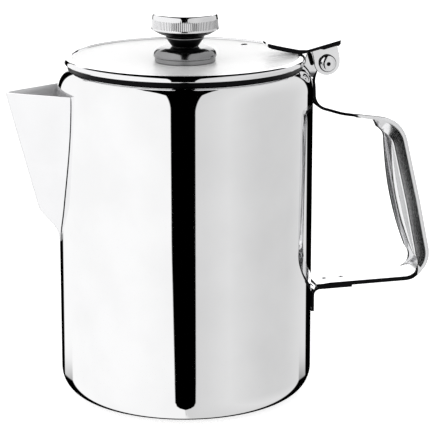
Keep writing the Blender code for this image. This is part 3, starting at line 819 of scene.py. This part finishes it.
def thickened(name, bm, thickness_at, dimples, material):
    """Give an open sheet its thickness, with painted shade on its cut edges, press round marks into it and
    round its edges.
    """
    thickest = 2.0 * MM
    item = new_object(name, bm, material)
    thick = item.vertex_groups.new(name="thick")
    for vertex in item.data.vertices:
        thick.add([vertex.index], thickness_at(vertex.co) / thickest, "REPLACE")
    shell = item.modifiers.new("sheet", "SOLIDIFY")
    shell.vertex_group = "thick"
    shell.thickness = thickest
    shell.offset = 0.0
    # the rims, the sheet's cut edges, get painted shade
    shell.material_offset_rim = 1
    graph = bpy.context.evaluated_depsgraph_get()
    solid = bpy.data.meshes.new_from_object(item.evaluated_get(graph))
    bpy.data.objects.remove(item)
    base = bmesh.new()
    base.from_mesh(solid)
    changes = []
    for x, z in dimples:
        ball = bmesh.new()
        bmesh.ops.create_uvsphere(ball, u_segments=32, v_segments=16, radius=1.5 * MM)
        bmesh.ops.translate(ball, verts=ball.verts, vec=(x, 0.0, z))
        changes.append(("DIFFERENCE", ball))
    return joined(name, base, changes, material, bevel=0.07 * MM, angle=40.0, segments=2)


def make_handle():
    def strap_at(point, tangent):
        return strap_section(*strap_shape(point, tangent))

    def foot_at(point, tangent):
        return [(0.0, 0.0), (3.5 * MM, 0.0), (6.9 * MM, 0.0)]

    arm_top = ARM_Z + STRAP_SHEET / 2
    marks = [(62.8 * MM, arm_top + 1.25 * MM), (70.6 * MM, arm_top + 1.44 * MM)]
    bar = thickened("handle_bar", sheet_mesh(strap_path(), strap_at), strap_thickness, marks, GRIP_STEEL)
    stand_in(bar, "handle_strap", "pot")

    low = 44.47 * MM - GAP - STRAP_SHEET
    x = 56.0 * MM
    corners = [(x, 32.6 * MM, 0.0), (x, low, 3.2 * MM), (74.0 * MM, low + 0.43 * MM, 0.0)]
    tab = thickened("handle_tab", sheet_mesh(rounded_path(corners, 4.0), foot_at), foot_thickness, [],
                    SHEET_STEEL)
    stand_in(tab, "handle_foot", "pot")


make_handle()


# ---------------------------------------------------------------- studio

def step(tree, value, low, high):
    """0 below low, 1 above high, smooth between; low may be above high to turn it round."""
    return remap(tree, value, (low, high), (0.0, 1.0), "SMOOTHSTEP")


def profile(tree, value, stops):
    """A value from 0 to 1 read off a line through (place from -1 to 1, value) stops."""
    shifted = value_node(tree, "MULTIPLY_ADD", value, 0.5, 0.5)
    ramp = tree.nodes.new("ShaderNodeValToRGB")
    tree.links.new(shifted, ramp.inputs["Fac"])
    elements = ramp.color_ramp.elements
    for i, (place, level) in enumerate(stops):
        at = (place + 1) / 2
        element = elements[i] if i < 2 else elements.new(at)
        element.position = at
        element.color = (level, level, level, 1.0)
    return ramp.outputs["Color"]


def multiply(tree, a, b):
    return value_node(tree, "MULTIPLY", a, b)


def either(tree, a, b):
    return value_node(tree, "MAXIMUM", a, b)


def soft_box_gap(tree, x, y, z):
    """The dark gap between the two soft boxes in front of the pot; it widens into the dark ceiling."""
    blur = 0.008
    left = profile(tree, z, [(-0.84, 0.0), (-0.74, 0.075), (-0.6, 0.12), (-0.45, 0.135), (-0.32, 0.158),
                             (-0.285, 0.18), (-0.262, 0.196), (-0.2, 0.205), (0.85, 0.22)])
    right = profile(tree, z, [(-0.84, 0.0), (-0.74, 0.07), (-0.6, 0.12), (-0.45, 0.14), (-0.32, 0.158),
                              (-0.2, 0.165), (0.85, 0.205)])
    over_left = profile(tree, y, [(-0.48, 0.0), (-0.25, 0.09), (-0.11, 0.155), (0.014, 0.18), (0.5, 0.33),
                                  (0.8, 0.45)])
    over_right = profile(tree, y, [(-0.48, 0.0), (-0.27, 0.045), (-0.04, 0.09), (0.21, 0.14), (0.5, 0.3),
                                   (0.8, 0.42)])
    overhead = step(tree, z, 0.2, 0.3)
    left = value_node(tree, "ADD", left, multiply(tree, over_left, overhead))
    right = value_node(tree, "ADD", right, multiply(tree, over_right, overhead))
    inside_left = step(tree, value_node(tree, "ADD", x, left), -blur, blur)
    inside_right = step(tree, value_node(tree, "SUBTRACT", right, x), -blur, blur)
    front = step(tree, y, 0.1, 0.0)
    lowest = multiply(tree, step(tree, y, 0.0, 0.5), 0.25)
    ceiling = step(tree, value_node(tree, "SUBTRACT", z, lowest), 0.26, 0.32)
    return multiply(tree, multiply(tree, inside_left, inside_right), either(tree, front, ceiling))


def dark_room(tree, x, y, z):
    """The dark room on both sides of the backdrop, and the dark edge of the table below it."""
    limit = value_node(tree, "ADD", multiply(tree, step(tree, x, -0.2, 0.2), -0.05), 0.835)
    behind = step(tree, value_node(tree, "SUBTRACT", y, limit), -0.01, 0.01)
    below = step(tree, z, -0.12, -0.17)
    beside = either(tree, step(tree, x, -0.3, -0.36), step(tree, x, 0.36, 0.42))
    beside = multiply(tree, beside, step(tree, z, 0.5, 0.4))
    right_flag = multiply(tree, step(tree, x, 0.2, 0.26), step(tree, z, 0.2, 0.16))
    room = multiply(tree, behind, either(tree, below, either(tree, beside, right_flag)))
    table_edge = multiply(tree, step(tree, y, 0.58, 0.62), step(tree, z, -0.3, -0.36))
    return either(tree, room, table_edge)


def soft_boxes(tree, x, y):
    """Brightness of the soft boxes: near white on the left, dimmer on the right, brightest behind."""
    right_level = profile(tree, x, [(0.0, 0.68), (0.3, 0.7), (0.62, 0.76), (0.8, 0.71), (0.93, 0.66),
                                    (1.0, 0.655)])
    left_level = profile(tree, x, [(-1.0, 1.0), (-0.7, 1.0), (-0.25, 0.97), (0.0, 0.97)])
    on_right = step(tree, x, -0.02, 0.02)
    lit = value_node(tree, "ADD", multiply(tree, right_level, on_right),
                     multiply(tree, left_level, value_node(tree, "SUBTRACT", 1.0, on_right)))
    back = multiply(tree, step(tree, value_node(tree, "ABSOLUTE", x), 0.48, 0.4), step(tree, y, 0.5, 0.8))
    return either(tree, lit, multiply(tree, back, 1.5))


def make_world():
    """A white world whose mirrored directions show a studio: soft boxes with dark gaps around them.

    Directions are x to the right, y away from the camera and z up.
    """
    exposure = 1.04
    world = bpy.data.worlds.new("studio")
    bpy.context.scene.world = world
    world.use_nodes = True
    tree = world.node_tree
    background = tree.nodes["Background"]
    place = tree.nodes.new("ShaderNodeTexCoord")
    turn = tree.nodes.new("ShaderNodeMapping")
    turn.inputs["Rotation"].default_value = (0.0, 0.0, VIEW_TURN)
    tree.links.new(place.outputs["Generated"], turn.inputs["Vector"])
    split = tree.nodes.new("ShaderNodeSeparateXYZ")
    tree.links.new(turn.outputs["Vector"], split.inputs["Vector"])
    x, y, z = split.outputs["X"], split.outputs["Y"], split.outputs["Z"]

    dark = either(tree, soft_box_gap(tree, x, y, z), dark_room(tree, x, y, z))
    seen = multiply(tree, soft_boxes(tree, x, y), value_node(tree, "SUBTRACT", 1.0, dark))
    seen = multiply(tree, seen, exposure)
    path = tree.nodes.new("ShaderNodeLightPath")
    plain = either(tree, path.outputs["Is Camera Ray"], path.outputs["Is Diffuse Ray"])
    mirrored = multiply(tree, seen, value_node(tree, "SUBTRACT", 1.0, plain))
    tree.links.new(value_node(tree, "ADD", mirrored, plain), background.inputs["Strength"])
    background.inputs["Color"].default_value = (1.0, 1.0, 1.0, 1.0)


def make_floor():
    """A white matt floor that the steel doesn't mirror."""
    half_size = 3.0
    bm = bmesh.new()
    bmesh.ops.create_grid(bm, x_segments=8, y_segments=8, size=half_size)
    material, tree = node_material("floor_white")
    shader = tree.nodes["Principled BSDF"]
    shader.inputs["Base Color"].default_value = (0.9, 0.9, 0.9, 1.0)
    shader.inputs["Roughness"].default_value = 1.0
    shader.inputs["Specular IOR Level"].default_value = 0.0
    shader.inputs["Emission Color"].default_value = (1.0, 1.0, 1.0, 1.0)
    shader.inputs["Emission Strength"].default_value = 0.5
    floor = new_object("studio_floor", bm, material)
    floor.visible_glossy = False


def make_camera():
    tilt = math.radians(75.88)
    data = bpy.data.cameras.new("camera")
    data.sensor_width = 36.0
    data.lens = 172.83
    data.clip_start = 0.05
    camera = bpy.data.objects.new("camera", data)
    camera.location = (-0.1697, -0.8621, 0.3003)
    camera.rotation_euler = (tilt, 0.0, -VIEW_TURN)
    bpy.context.scene.collection.objects.link(camera)
    bpy.context.scene.camera = camera


make_world()
make_floor()
make_camera()
bpy.context.scene.view_settings.view_transform = "Standard"
